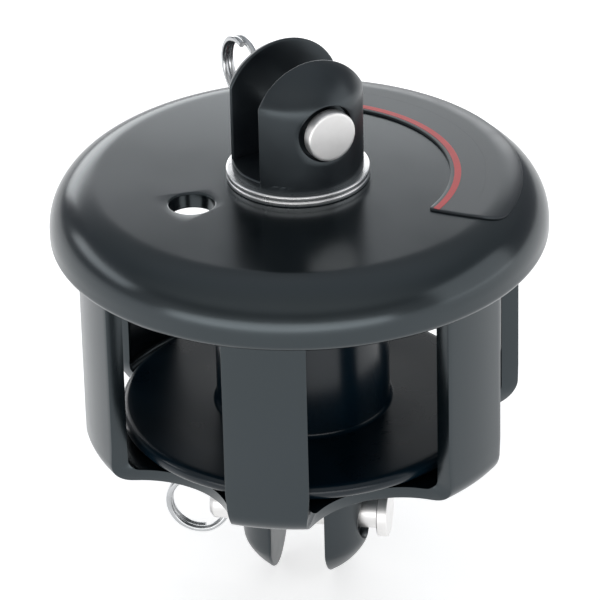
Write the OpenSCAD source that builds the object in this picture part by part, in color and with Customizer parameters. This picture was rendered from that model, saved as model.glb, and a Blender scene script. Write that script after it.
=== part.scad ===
// Roller furler drum for a small boat's headstay, in millimetres.
// The spin axis is Z and the origin is the centre of the lower clevis pin.
// The stator is the lower clevis, its stem and the line guard.
// The rotor is the spool, the cap and the upper clevis, which turn on two rows of balls.

/* [Clevises] */
// Outside diameter of both clevises
clevis_d = 23.4; // [20:0.1:24]
// Radius of both clevises' ball ends, about their pins
ball_end_r = 12.6; // [12.2:0.1:13.5]
// Width of both jaws
jaw_w = 9.9; // [8:0.1:11]
// Depth of the pocket that takes a pin's head, at the side of the jaw
head_pocket = 2.05; // [1.5:0.05:2.5]
// Height of the upper pin above the cap
upper_pin_rise = 13; // [12.5:0.1:18]
// Height of the guard's underside above the lower pin
lower_pin_drop = 17.8; // [16:0.1:24]
// Solid metal between the upper jaw and its washers
upper_jaw_floor = 1.6; // [1:0.1:2.5]
// Solid metal between the lower jaw and the guard
lower_jaw_floor = 7; // [4:0.1:9]
// Diameter of the upper clevis's threaded shank
shank_d = 12; // [10:0.5:14]
// Diameter of the lower clevis's stem
stem_d = 10; // [8:0.5:11]

/* [Pins and rings] */
// Diameter of the clevis pins
pin_d = 6.35; // [5:0.05:7]
// Diameter of a pin's head
pin_head_d = 9.2; // [8:0.1:10]
// Thickness of a pin's head
pin_head_t = 2; // [1.5:0.1:2.5]
// Distance from the side of the upper clevis out to its seated pin's cross hole
upper_ring_stand = 3.9; // [3:0.1:6]
// Distance from the side of the lower clevis out to its seated pin's cross hole
lower_ring_stand = 7; // [6:0.1:9]
// Diameter of the cross hole
cross_hole_d = 2.6; // [2.5:0.05:2.9]
// Length of the pin past its cross hole
pin_tip = 3; // [2.5:0.1:4]
// Outside diameter of the split rings
ring_d = 12.5; // [11:0.1:14]
// Wire of the split rings
ring_wire = 1.2; // [1:0.05:1.3]
// How far the upper pin stands out of its pocket
upper_pin_out = 1.4; // [0.1:0.1:2]
// How far the lower pin stands out of its pocket
lower_pin_out = 4; // [0.1:0.1:4.5]

/* [Cap] */
// Outside diameter of the cap
cap_d = 89; // [86:0.5:100]
// Height of the cap from its rim to its flat top
cap_h = 11.4; // [9.5:0.1:14]
// Thickness of the cap's top
cap_t = 3.1; // [2.5:0.1:4]
// Thickness of the cap's rim
cap_wall = 3; // [2:0.1:3.2]
// Radius of the cap's shoulder
cap_round = 8.6; // [6:0.1:9]
// Diameter of the hole that takes the furling line
line_hole_d = 8; // [6:0.1:9]
// Distance of the line hole from the axis
line_hole_at = 21.3; // [20.5:0.1:24]
// Thickness of the raised label band
label_t = 0.5; // [0.3:0.1:0.8]
// Inner radius of the label band
label_inner = 27; // [24:0.5:30]
// Outer radius of the label band
label_outer = 38.6; // [36:0.1:40]
// Angle that the label band covers
label_span = 134; // [90:1:150]
// Angle from the upper pin's head to the start of the label band
label_start = 29; // [25:1:40]
// How far the drum is turned at rest
rest_turn = -52; // [-180:1:180]

/* [Line guard] */
// Running gap between the fingers and the cap's rim
finger_clear = 1.5; // [1.2:0.1:3]
// Number of fingers
finger_count = 6; // [4:1:8]
// Width of a finger
finger_w = 14.9; // [10:0.1:16]
// Thickness of a finger
finger_t = 3.2; // [2.5:0.1:3.5]
// Height of a finger's tip above the cap's rim
finger_lap = 3; // [1:0.1:3.5]
// Thickness of the guard's plate
plate_t = 2.4; // [2:0.1:3.5]
// Radius of the bend from the plate into a finger
guard_round = 4; // [3.5:0.1:6]
// Distance from the axis to the deepest point of a scallop
scallop_at = 29.8; // [26:0.1:31]
// Height over which a scallop runs out into the fingers' sides
scallop_runout = 6; // [4:0.1:9]
// Thickness of the guard's hexagon nut
guard_nut_t = 2.6; // [2:0.1:2.7]

/* [Spool] */
// Diameter of the spool's hub
hub_d = 31.5; // [30:0.1:33]
// Wall of the hub
hub_wall = 3.25; // [2.5:0.05:3.6]
// Solid metal at the top of the hub
hub_web = 6; // [5:0.1:8]
// Diameter of the spool's lower flange
flange_d = 66.6; // [56:0.1:70]
// Thickness of the lower flange
flange_t = 2.8; // [2:0.1:4]
// Running gap between the lower flange and the guard's plate
flange_gap = 0.8; // [0.6:0.1:2]
// Radius between the hub and the lower flange
hub_fillet = 0.8; // [0.4:0.1:4]
// Height of the line's space between the lower flange and the cap
channel_h = 41.9; // [40:0.1:60]

/* [Bearings] */
// Diameter of the bearing balls
ball_d = 4; // [3.5:0.1:4.4]
// Metal of a race under its balls
race_floor = 1.9; // [1.2:0.1:2.5]
// Running clearance of the balls in their races and cages
ball_clear = 0.1; // [0.05:0.01:0.12]
// Wall of a ball cage
cage_wall = 1; // [0.6:0.1:1.1]
// Rail of a ball cage above and below its balls
cage_rail = 0.9; // [0.6:0.1:1]
// Metal of a cage between two balls
cage_bridge = 1.2; // [1:0.1:2]
// Depth of the threaded retainer inside the hub's lower end
retainer_depth = 3.6; // [3.5:0.1:4.5]
// Thickness of the retainer
retainer_t = 4.5; // [3.5:0.1:6]
// Radial width of the stem's seal
seal_w = 2.1; // [1.5:0.1:2.4]
// Wall of the outer spacers
spacer_wall = 1.4; // [1:0.1:1.6]
// Wall of the inner spacer
inner_spacer_wall = 2.2; // [1.5:0.1:2.5]

/* [Fasteners] */
// Metal on each side of a stem nut's thread, to its flats
stem_nut_wall = 1.6; // [1.2:0.1:1.8]
// Thickness of the nut at the top of the stem
stem_nut_t = 4; // [3:0.1:5]
// Metal on each side of the shank nut's thread, to its flats
shank_nut_wall = 3; // [2:0.1:3.1]
// Thickness of the nut on the shank
shank_nut_t = 5.5; // [4:0.1:7]
// Thread that stands out past a nut
thread_over = 0.6; // [0.4:0.1:1]
// Thickness of the thin washers under the nuts
washer_t = 0.8; // [0.5:0.1:0.9]
// Thickness of each washer under the upper clevis
clevis_washer_t = 1; // [0.8:0.1:1.5]
// How far those washers stand out past the clevis
clevis_washer_lip = 1.1; // [0.5:0.1:2]
// Diameter of the dowels that drive the cap
dowel_d = 3; // [2:0.1:3.5]
// Depth of a dowel in the hub
dowel_depth = 4; // [3:0.1:4.5]

/* [Clearances] */
// Radial clearance of a seat that doesn't move
seat_clear = 0.05; // [0.02:0.01:0.1]
// Radial running clearance of pins and of the stem's seal
run_clear = 0.075; // [0.05:0.005:0.1]
// Gap left where a moving piece stops against another
stop_gap = 0.3; // [0.2:0.05:0.5]
// Gap between the ends of the stem and the shank
end_gap = 1.4; // [1:0.1:3]

/* [Hidden] */
$fn = 96;
through = 1;

// Radii
clevis_r = clevis_d / 2;
stem_r = stem_d / 2;
shank_r = shank_d / 2;
pin_r = pin_d / 2;
cap_r = cap_d / 2;
guard_r = cap_r - cap_wall - finger_clear;
finger_inner_r = guard_r - finger_t;
hub_r = hub_d / 2;
bore_r = hub_r - hub_wall;
ball_r = ball_d / 2;
groove_r = ball_r + ball_clear;
pitch_r = (stem_r + bore_r) / 2;
ball_count = floor(2 * PI * pitch_r / (ball_d + cage_bridge));
race_open = cage_wall / 2 + stop_gap;
seal_r = stem_r + seal_w;
clevis_washer_r = clevis_r + clevis_washer_lip;

// Heights, from the lower pin up
plate_z = lower_pin_drop;
plate_top = plate_z + plate_t;
flange_z = plate_top + flange_gap;
flange_top = flange_z + flange_t;
cap_under = flange_top + channel_h;
cap_top = cap_under + cap_t;
cap_rim = cap_top - cap_h;
finger_h = cap_rim + finger_lap - plate_z;
clevis_base = cap_top + 2 * clevis_washer_t;
upper_pin_z = cap_top + upper_pin_rise;
upper_jaw_z = clevis_base + upper_jaw_floor;
lower_jaw_z = plate_z - lower_jaw_floor;
web_z = cap_under - hub_web;
retainer_z = flange_z + retainer_depth;
retainer_top = retainer_z + retainer_t;

// The upper bearing hangs from the web, and the lower one stands on the retainer
shank_end = web_z - washer_t - shank_nut_t - thread_over;
stem_end = shank_end - end_gap;
stem_nut_z = stem_end - thread_over - stem_nut_t;
ball_low_z = retainer_top + race_floor + ball_r;
ball_high_z = stem_nut_z - washer_t - ball_r / 2;

// Pins and rings, along a pin's axis from the centre of its jaw
pocket_floor = clevis_r - head_pocket;
upper_cross_at = clevis_r + upper_ring_stand;
lower_cross_at = clevis_r + lower_ring_stand;
ring_mid = (ring_d - ring_wire) / 2;
ring_chord = sqrt(ring_mid * ring_mid - pin_r * pin_r);
ring_reach = (ring_mid + ring_chord) / 2;
head_bevel = 0.3;
tip_bevel = 0.8;
ring_lap = 105;
ring_pack = 0.95;
pocket_r = pin_head_d / 2 + 2 * stop_gap;

// The scallops meet the fingers at their inner face
window_step = 360 / finger_count;
window_half = window_step / 2 - asin(finger_w / 2 / guard_r);
scallop_x = finger_inner_r * cos(window_half) - scallop_at;
scallop_y = finger_inner_r * sin(window_half);
scallop_r = (scallop_x * scallop_x + scallop_y * scallop_y) / 2 / scallop_x;
scallop_draft = 1.2;
window_lip = 0.2;
dowel_at = (shank_r + hub_r) / 2;
spanner_d = 2.5;
spanner_at = (seal_r + bore_r) / 2;

steel = "#c9ccd0";
race_steel = "#9fa4aa";
anodised = "#1c1d20";
moulded = "#2a2c30";
polished = "#101113";
nylon = "#e6e1d4";
rubber = "#141414";
label_grey = "#3a3d42";

// A plain ring between two radii and two heights
module band(inner, outer, low, high) {
    translate([0, 0, low])
        difference() {
            cylinder(r = outer, h = high - low);
            translate([0, 0, -through]) cylinder(r = inner, h = high - low + 2 * through);
        }
}

// A hexagon nut across its flats, standing on the height low
module hexagon_nut(flats, bore, low, thickness) {
    translate([0, 0, low])
        difference() {
            cylinder(d = flats / cos(30), h = thickness, $fn = 6);
            translate([0, 0, -through]) cylinder(r = bore, h = thickness + 2 * through);
        }
}

// Places what turns with the drum
module on_drum() {
    rotate([0, 0, rest_turn]) children();
}

// A round bar with a ball end about the pin, a jaw across it and a pocket for the pin's head
module clevis_head(base, jaw_base) {
    difference() {
        rotate_extrude() {
            intersection() {
                circle(r = ball_end_r);
                square([clevis_r, ball_end_r]);
            }
            translate([0, -base]) square([clevis_r, base]);
        }
        translate([-jaw_w / 2, -clevis_r - through, -jaw_base])
            cube([jaw_w, clevis_d + 2 * through, jaw_base + ball_end_r + through]);
        rotate([0, 90, 0])
            cylinder(r = pin_r + run_clear, h = clevis_d + 2 * through, center = true);
        translate([pocket_floor, 0, 0])
            rotate([0, 90, 0]) cylinder(r = pocket_r, h = clevis_r);
    }
}

// A clevis pin along X, its head on the +X side and pulled out of its pocket by out
module clevis_pin(cross_at, out) {
    tip = cross_at + pin_tip;
    head_r = pin_head_d / 2;
    difference() {
        translate([out, 0, 0])
            rotate([0, 90, 0])
                rotate_extrude()
                    polygon([
                        [0, -tip], [pin_r - tip_bevel, -tip], [pin_r, tip_bevel - tip],
                        [pin_r, pocket_floor], [head_r, pocket_floor],
                        [head_r, pocket_floor + pin_head_t - head_bevel],
                        [head_r - head_bevel, pocket_floor + pin_head_t],
                        [0, pocket_floor + pin_head_t]
                    ]);
        translate([out - cross_at, 0, 0])
            cylinder(d = cross_hole_d, h = pin_d + 2 * through, center = true);
    }
}

// A split ring through the cross hole: one whole turn and a lapped turn beside its outer half
module split_ring(cross_at, out) {
    translate([out - cross_at - ring_reach, 0, 0])
        rotate([90, 0, 0]) {
            rotate_extrude() translate([ring_mid, 0]) circle(d = ring_wire, $fn = 32);
            translate([0, 0, ring_wire * ring_pack])
                rotate([0, 0, 180 - ring_lap])
                    rotate_extrude(angle = 2 * ring_lap)
                        translate([ring_mid, 0]) circle(d = ring_wire, $fn = 32);
        }
}

// The groove that a row of balls runs in
module ball_groove(height) {
    translate([0, 0, height])
        rotate_extrude() translate([pitch_r, 0]) circle(r = groove_r);
}

// An outer race lies under its balls, and over them when turned over
module outer_race(height, side) {
    far = height - side * (ball_r + race_floor);
    near = height + side * ball_r / 2;
    difference() {
        band(pitch_r + race_open, bore_r - seat_clear, min(far, near), max(far, near));
        ball_groove(height);
    }
}

// An inner race lies over its balls, and under them when turned over
module inner_race(height, side) {
    far = height + side * (ball_r + race_floor);
    near = height - side * ball_r / 2;
    difference() {
        band(stem_r + seat_clear, pitch_r - race_open, min(far, near), max(far, near));
        ball_groove(height);
    }
}

module ball_ring(radius, height) {
    for (i = [0 : ball_count - 1])
        rotate([0, 0, i * 360 / ball_count])
            translate([pitch_r, 0, height]) sphere(r = radius);
}

module ball_cage(height) {
    reach = groove_r + cage_rail;
    difference() {
        band(pitch_r - cage_wall / 2, pitch_r + cage_wall / 2, height - reach, height + reach);
        ball_ring(groove_r, height);
    }
}

// The cap's outside, grown by a skin, as a half section
module cap_section(skin) {
    corner = cap_round + skin;
    square([cap_r - cap_round, cap_top + skin]);
    square([cap_r + skin, cap_top - cap_round]);
    translate([cap_r - cap_round, cap_top - cap_round]) circle(r = corner);
}

// The guard before its windows, as a half section: plate, bend and finger
module guard_section() {
    bend_inner = guard_round - plate_t;
    bend_x = finger_inner_r - bend_inner;
    tip_z = finger_h - finger_t / 2;
    difference() {
        union() {
            square([guard_r - guard_round, guard_round]);
            polygon([[0, guard_round], [guard_r, guard_round], [guard_r, tip_z], [0, tip_z]]);
            translate([guard_r - guard_round, guard_round]) circle(r = guard_round);
            translate([guard_r - finger_t / 2, tip_z]) circle(d = finger_t);
        }
        translate([-through, plate_t]) square([bend_x + through, finger_h]);
        polygon([[0, guard_round], [finger_inner_r, guard_round], [finger_inner_r, tip_z], [0, tip_z]]);
        translate([bend_x, guard_round]) circle(r = bend_inner);
    }
}

// The open space between two fingers, with radial sides, from just above the plate
module window_wedge() {
    near = guard_r / 2;
    reach = 2 * guard_r;
    translate([0, 0, plate_t + window_lip])
        linear_extrude(height = finger_h)
            polygon([
                [near * cos(window_half), -near * sin(window_half)],
                [reach * cos(window_half), -reach * sin(window_half)],
                [reach * cos(window_half), reach * sin(window_half)],
                [near * cos(window_half), near * sin(window_half)]
            ]);
}

module scallop() {
    rise = scallop_runout + through;
    translate([scallop_at + scallop_r, 0, -through])
        cylinder(r1 = scallop_r, r2 = scallop_r - scallop_draft, h = rise);
}

// The lower clevis hangs upside down, and its stem runs up through the guard into the hub
module lower_clevis() {
    color(anodised) {
        rotate([180, 0, 0]) clevis_head(plate_z, lower_jaw_z);
        translate([0, 0, plate_z]) cylinder(r = stem_r, h = stem_end - plate_z);
    }
}

module line_guard() {
    color(moulded)
        translate([0, 0, plate_z]) difference() {
            rotate([0, 0, window_step / 2]) rotate_extrude() guard_section();
            translate([0, 0, -through]) cylinder(r = stem_r + seat_clear, h = plate_t + 2 * through);
            for (i = [0 : finger_count - 1])
                rotate([0, 0, i * window_step]) {
                    window_wedge();
                    scallop();
                }
        }
}

module guard_washer() {
    color(steel)
        band(stem_r + seat_clear, stem_r + 2 * stem_nut_wall, plate_top, plate_top + washer_t);
}

module guard_nut() {
    color(steel)
        hexagon_nut(stem_d + 2 * stem_nut_wall, stem_r + seat_clear, plate_top + washer_t, guard_nut_t);
}

module lower_inner_race() {
    color(race_steel) inner_race(ball_low_z, 1);
}

module inner_spacer() {
    color(race_steel)
        band(
            stem_r + seat_clear, stem_r + inner_spacer_wall,
            ball_low_z + ball_r + race_floor, ball_high_z - ball_r - race_floor
        );
}

module upper_inner_race() {
    color(race_steel) inner_race(ball_high_z, -1);
}

module stem_washer() {
    color(steel)
        band(stem_r + seat_clear, stem_r + stem_nut_wall, stem_nut_z - washer_t, stem_nut_z);
}

module stem_nut() {
    color(steel)
        hexagon_nut(stem_d + 2 * stem_nut_wall, stem_r + seat_clear, stem_nut_z, stem_nut_t);
}

module lower_balls() {
    color(steel) ball_ring(ball_r, ball_low_z);
}

module lower_ball_cage() {
    color(nylon) ball_cage(ball_low_z);
}

module upper_balls() {
    color(steel) ball_ring(ball_r, ball_high_z);
}

module upper_ball_cage() {
    color(nylon) ball_cage(ball_high_z);
}

// The hub and its lower flange, bored from below up to the web
module spool() {
    edge = flange_t / 2;
    fillet_at = hub_r + hub_fillet;
    color(polished)
        on_drum()
            difference() {
                rotate_extrude() {
                    translate([0, flange_z]) square([hub_r, cap_under - flange_z]);
                    translate([0, flange_z]) square([flange_d / 2 - edge, flange_t]);
                    translate([flange_d / 2 - edge, flange_z + edge]) circle(r = edge);
                    difference() {
                        translate([0, flange_top]) square([fillet_at, hub_fillet]);
                        translate([fillet_at, flange_top + hub_fillet]) circle(r = hub_fillet);
                    }
                }
                translate([0, 0, flange_z - through])
                    cylinder(r = bore_r, h = web_z - flange_z + through);
                translate([0, 0, web_z - through])
                    cylinder(r = shank_r + seat_clear, h = hub_web + 2 * through);
                dowel_holes();
            }
}

// Two blind holes across the joint of the hub and the cap
module dowel_holes() {
    for (side = [-1, 1])
        translate([side * dowel_at, 0, cap_under - dowel_depth])
            cylinder(d = dowel_d + 2 * seat_clear, h = dowel_depth + cap_t / 2);
}

module bearing_retainer() {
    color(race_steel)
        on_drum()
            difference() {
                band(seal_r + seat_clear, bore_r - seat_clear, retainer_z, retainer_top);
                for (side = [-1, 1])
                    translate([side * spanner_at, 0, retainer_z - through])
                        cylinder(d = spanner_d, h = retainer_t / 2 + through);
            }
}

module stem_seal() {
    color(rubber)
        band(stem_r + run_clear, seal_r, retainer_z + washer_t, retainer_top - washer_t);
}

module lower_outer_race() {
    color(race_steel) outer_race(ball_low_z, 1);
}

module outer_spacer() {
    color(race_steel)
        band(
            bore_r - spacer_wall, bore_r - seat_clear,
            ball_low_z + ball_r / 2, ball_high_z - ball_r / 2
        );
}

module upper_outer_race() {
    color(race_steel) outer_race(ball_high_z, -1);
}

module top_spacer() {
    color(race_steel)
        band(
            bore_r - spacer_wall, bore_r - seat_clear,
            ball_high_z + ball_r + race_floor, web_z
        );
}

// The hollow under the cap, as a half section
module cap_hollow() {
    inner_r = cap_r - cap_wall;
    inner_round = cap_round - cap_wall;
    square([inner_r - inner_round, cap_under]);
    square([inner_r, cap_under - inner_round]);
    translate([inner_r - inner_round, cap_under - inner_round]) circle(r = inner_round);
}

// A dished cap with a rounded rim, bored for the shank and for the furling line
module cap() {
    lip = cap_wall / 2;
    color(moulded)
        on_drum()
            difference() {
                rotate_extrude() {
                    difference() {
                        cap_section(0);
                        square([cap_r, cap_rim + lip]);
                        cap_hollow();
                    }
                    translate([cap_r - lip, cap_rim + lip]) circle(r = lip);
                }
                translate([0, 0, cap_under - through])
                    cylinder(r = shank_r + seat_clear, h = cap_t + 2 * through);
                rotate([0, 0, -90])
                    translate([line_hole_at, 0, cap_under - through])
                        cylinder(d = line_hole_d, h = cap_t + 2 * through);
                dowel_holes();
            }
}

module cap_dowels() {
    color(steel)
        on_drum()
            for (side = [-1, 1])
                translate([side * dowel_at, 0, cap_under - dowel_depth])
                    cylinder(d = dowel_d, h = dowel_depth + cap_t / 2);
}

// A raised band that follows the cap's top and the start of its shoulder
module label_band() {
    color(label_grey)
        on_drum()
            rotate([0, 0, label_start])
                rotate_extrude(angle = label_span)
                    intersection() {
                        difference() {
                            cap_section(label_t);
                            cap_section(0);
                        }
                        translate([label_inner, cap_rim])
                            square([label_outer - label_inner, 2 * cap_h]);
                    }
}

module lower_clevis_washer() {
    color(steel)
        band(shank_r + seat_clear, clevis_washer_r, cap_top, cap_top + clevis_washer_t);
}

module upper_clevis_washer() {
    color(steel)
        band(shank_r + seat_clear, clevis_washer_r, cap_top + clevis_washer_t, clevis_base);
}

module upper_clevis() {
    color(anodised)
        on_drum() {
            translate([0, 0, upper_pin_z])
                clevis_head(upper_pin_z - clevis_base, upper_pin_z - upper_jaw_z);
            translate([0, 0, shank_end]) cylinder(r = shank_r, h = clevis_base - shank_end);
        }
}

module shank_washer() {
    color(steel)
        band(shank_r + seat_clear, shank_r + shank_nut_wall, web_z - washer_t, web_z);
}

module shank_nut() {
    color(steel)
        on_drum()
            hexagon_nut(
                shank_d + 2 * shank_nut_wall, shank_r + seat_clear,
                web_z - washer_t - shank_nut_t, shank_nut_t
            );
}

module upper_pin() {
    color(steel) on_drum() translate([0, 0, upper_pin_z]) clevis_pin(upper_cross_at, upper_pin_out);
}

module upper_ring() {
    color(steel) on_drum() translate([0, 0, upper_pin_z]) split_ring(upper_cross_at, upper_pin_out);
}

module lower_pin() {
    color(steel) clevis_pin(lower_cross_at, lower_pin_out);
}

module lower_ring() {
    color(steel) split_ring(lower_cross_at, lower_pin_out);
}

lower_clevis();
line_guard();
guard_washer();
guard_nut();
lower_inner_race();
inner_spacer();
upper_inner_race();
stem_washer();
stem_nut();
lower_balls();
lower_ball_cage();
upper_balls();
upper_ball_cage();
spool();
bearing_retainer();
stem_seal();
lower_outer_race();
outer_spacer();
upper_outer_race();
top_spacer();
cap();
cap_dowels();
label_band();
lower_clevis_washer();
upper_clevis_washer();
upper_clevis();
shank_washer();
shank_nut();
upper_pin();
upper_ring();
lower_pin();
lower_ring();
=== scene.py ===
"""The looks of a small boat's roller furler drum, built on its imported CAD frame."""
import math

import bmesh
import bpy
from mathutils import Matrix, Vector


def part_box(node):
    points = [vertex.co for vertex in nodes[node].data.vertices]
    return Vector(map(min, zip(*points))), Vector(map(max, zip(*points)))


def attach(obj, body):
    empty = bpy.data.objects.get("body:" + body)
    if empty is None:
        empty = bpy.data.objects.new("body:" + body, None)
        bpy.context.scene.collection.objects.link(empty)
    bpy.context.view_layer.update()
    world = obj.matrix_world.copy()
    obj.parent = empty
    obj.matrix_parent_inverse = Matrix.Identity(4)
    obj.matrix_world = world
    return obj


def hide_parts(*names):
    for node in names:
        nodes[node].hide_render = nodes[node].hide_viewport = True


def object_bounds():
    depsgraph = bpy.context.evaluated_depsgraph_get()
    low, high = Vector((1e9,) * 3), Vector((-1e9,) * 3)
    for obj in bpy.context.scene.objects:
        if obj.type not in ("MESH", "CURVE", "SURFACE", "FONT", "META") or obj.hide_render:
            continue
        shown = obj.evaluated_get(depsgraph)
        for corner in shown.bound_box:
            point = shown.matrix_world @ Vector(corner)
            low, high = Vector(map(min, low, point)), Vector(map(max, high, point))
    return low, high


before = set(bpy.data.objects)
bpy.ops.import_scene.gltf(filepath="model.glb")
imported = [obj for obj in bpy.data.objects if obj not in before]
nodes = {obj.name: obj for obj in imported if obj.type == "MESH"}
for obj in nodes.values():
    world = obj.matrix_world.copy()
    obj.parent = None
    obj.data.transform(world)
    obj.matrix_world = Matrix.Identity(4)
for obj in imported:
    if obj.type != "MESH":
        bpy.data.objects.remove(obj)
cad_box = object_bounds()
scene = bpy.context.scene
scene.view_settings.view_transform = "Standard"


# Camera: a long lens from in front, a little to the right and well above, so that the cap's
# top shows as an ellipse. It is held with a slight roll, as the product was photographed.
MM = 0.001
sight_azimuth = math.radians(10)
sight_elevation = math.radians(28.81)
sight_roll = math.radians(-1.42)
sight_distance = 829.4 * MM
sight_lens = 276.5
film_width = 36
aim_below_top = 25.39 * MM
aim_left = 0.23 * MM
right = Vector((math.cos(sight_azimuth), math.sin(sight_azimuth), 0))
forward = Vector((
    -math.sin(sight_azimuth) * math.cos(sight_elevation),
    math.cos(sight_azimuth) * math.cos(sight_elevation),
    -math.sin(sight_elevation),
))
above = right.cross(forward)
camera_x = right * math.cos(sight_roll) + above * math.sin(sight_roll)
camera_y = above * math.cos(sight_roll) - right * math.sin(sight_roll)
cap_low, cap_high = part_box("cap")
aim = Vector((0, 0, cap_high.z - aim_below_top)) - aim_left * right
camera = bpy.data.objects.new("camera", bpy.data.cameras.new("camera"))
scene.collection.objects.link(camera)
camera.data.lens = sight_lens
camera.data.sensor_width = film_width
camera.data.clip_start = 0.01
turned_to = Matrix((camera_x, camera_y, -forward)).transposed().to_4x4()
camera.matrix_world = Matrix.Translation(aim - forward * sight_distance) @ turned_to
scene.camera = camera


# Studio: a white floor under the lower clevis, clear from below, and a plain grey room. Four
# soft boxes, behind, in front and at both sides, give the black parts something to reflect.
def place(tree, kind, inputs=None, **settings):
    """Adds a node to a tree. An input is a plain value or another node's output."""
    made = tree.nodes.new(kind)
    for setting, value in settings.items():
        setattr(made, setting, value)
    for socket, value in (inputs or {}).items():
        if isinstance(value, bpy.types.NodeSocket):
            tree.links.new(value, made.inputs[socket])
        else:
            made.inputs[socket].default_value = value
    return made


def ramp(tree, factor, stops, interpolation="EASE"):
    """A colour ramp of (place, grey or colour) stops."""
    made = place(tree, "ShaderNodeValToRGB", {"Fac": factor})
    made.color_ramp.interpolation = interpolation
    steps = made.color_ramp.elements
    while len(steps) < len(stops):
        steps.new(1.0)
    for step, (at, tone) in zip(steps, stops):
        step.position = at
        step.color = (*tone, 1) if isinstance(tone, tuple) else (tone, tone, tone, 1)
    return made.outputs["Color"]


def bare_material(name):
    """A new material with an empty node tree, and that tree."""
    made = bpy.data.materials.new(name)
    made.use_nodes = True
    made.node_tree.nodes.clear()
    return made, made.node_tree


room = bpy.data.worlds.new("pale_room")
room.use_nodes = True
scene.world = room
room_tree = room.node_tree
room_tree.nodes.clear()
sky = place(room_tree, "ShaderNodeTexCoord")
sky_axes = place(room_tree, "ShaderNodeSeparateXYZ", {"Vector": sky.outputs["Generated"]})
sky_height = ramp(room_tree, sky_axes.outputs["Z"], [
    (0.0, (0.22, 0.23, 0.25)),
    (0.30, (0.24, 0.25, 0.27)),
    (0.62, (0.34, 0.36, 0.38)),
    (1.0, (0.60, 0.62, 0.65)),
])
sky_depth = place(room_tree, "ShaderNodeMapRange", {
    "Value": sky_axes.outputs["Y"], "From Min": 0.0, "From Max": -0.6, "To Min": 0.0, "To Max": 0.9,
})
sky_front = ramp(room_tree, sky_axes.outputs["Z"], [
    (0.0, 0.60), (0.22, 0.60), (0.42, 0.35), (0.65, 0.72), (1.0, 0.66),
])
sky_tone = place(room_tree, "ShaderNodeMix", {
    0: sky_depth.outputs["Result"], 6: sky_height, 7: sky_front,
}, data_type="RGBA")
sky_light = place(room_tree, "ShaderNodeBackground", {"Color": sky_tone.outputs[2], "Strength": 1.0})
place(room_tree, "ShaderNodeOutputWorld", {"Surface": sky_light.outputs["Background"]})

floor_half = 12.0
floor_gap = 0.2 * MM
floor_paint = (0.8, 0.8, 0.8, 1)
glow_seen = 0.62
glow_unseen = 0.3
floor_z = cad_box[0].z - floor_gap
floor_mesh = bpy.data.meshes.new("floor")
floor_mesh.from_pydata(
    [(x * floor_half, y * floor_half, floor_z) for x, y in ((-1, -1), (1, -1), (1, 1), (-1, 1))],
    [], [(0, 1, 2, 3)],
)
floor = bpy.data.objects.new("floor", floor_mesh)
scene.collection.objects.link(floor)
floor_white, floor_tree = bare_material("floor_white")
floor_ray = place(floor_tree, "ShaderNodeLightPath")
floor_mirrored = place(floor_tree, "ShaderNodeMath", {
    0: floor_ray.outputs["Is Glossy Ray"], 1: floor_ray.outputs["Is Transmission Ray"],
}, operation="MAXIMUM")
floor_seen = place(floor_tree, "ShaderNodeMath", {
    0: floor_ray.outputs["Is Camera Ray"], 1: floor_mirrored.outputs["Value"],
}, operation="MAXIMUM")
floor_lift = place(floor_tree, "ShaderNodeMix", {
    0: floor_seen.outputs["Value"], 2: glow_unseen, 3: glow_seen,
})
floor_matt = place(floor_tree, "ShaderNodeBsdfDiffuse", {"Color": floor_paint})
floor_glow = place(floor_tree, "ShaderNodeEmission", {
    "Color": (1, 1, 1, 1), "Strength": floor_lift.outputs[0],
})
floor_both = place(floor_tree, "ShaderNodeAddShader", {
    0: floor_matt.outputs["BSDF"], 1: floor_glow.outputs["Emission"],
})
floor_side = place(floor_tree, "ShaderNodeNewGeometry")
floor_under = place(floor_tree, "ShaderNodeBsdfTransparent")
floor_shown = place(floor_tree, "ShaderNodeMixShader", {
    "Fac": floor_side.outputs["Backfacing"],
    1: floor_both.outputs["Shader"],
    2: floor_under.outputs["BSDF"],
})
place(floor_tree, "ShaderNodeOutputMaterial", {"Surface": floor_shown.outputs["Shader"]})
floor_mesh.materials.append(floor_white)


def soft_box(name, across, high, energy, at, facing):
    """An upright lamp with a plain rectangular face, left out of the camera's own view."""
    box = bpy.data.objects.new(name, bpy.data.lights.new(name, "AREA"))
    scene.collection.objects.link(box)
    box.data.shape = "RECTANGLE"
    box.data.size = across
    box.data.size_y = high
    box.data.energy = energy
    box.location = at
    box.rotation_euler = Vector(facing).to_track_quat("-Z", "Y").to_euler()
    box.visible_camera = False


soft_box(
    "soft_box_behind", across=0.36, high=0.11, energy=0.37,
    at=(-0.10, 0.29, 0.150), facing=(0.10, -1, 0),
)
soft_box(
    "soft_box_in_front", across=1.0, high=0.13, energy=0.90,
    at=(0.0, -0.45, 0.056), facing=(0, 1, 0),
)
soft_box(
    "soft_box_at_left", across=0.50, high=0.12, energy=0.42,
    at=(-0.60, 0.03, 0.25), facing=(1, 0, -0.3),
)
soft_box(
    "soft_box_at_right", across=0.50, high=0.38, energy=0.60,
    at=(0.60, 0.03, 0.20), facing=(-1, 0, -0.2),
)


# Lower clevis: a bar of black anodised aluminium with a ball end, slotted for the deck tang and
# cross drilled for its pin. Its turned stem stands up through the guard into the hub's bearings.
def loft(name, rows, closed):
    """Skins rows of points that all run once round. A closed loft joins its last row to its first."""
    count = len(rows[0])
    points = [point for row in rows for point in row]
    spans = len(rows) if closed else len(rows) - 1
    faces = []
    for i in range(spans):
        here, there = i * count, (i + 1) % len(rows) * count
        for j in range(count):
            k = (j + 1) % count
            faces.append((here + j, here + k, there + k, there + j))
    mesh = bpy.data.meshes.new(name)
    mesh.from_pydata(points, [], faces)
    return mesh


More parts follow.
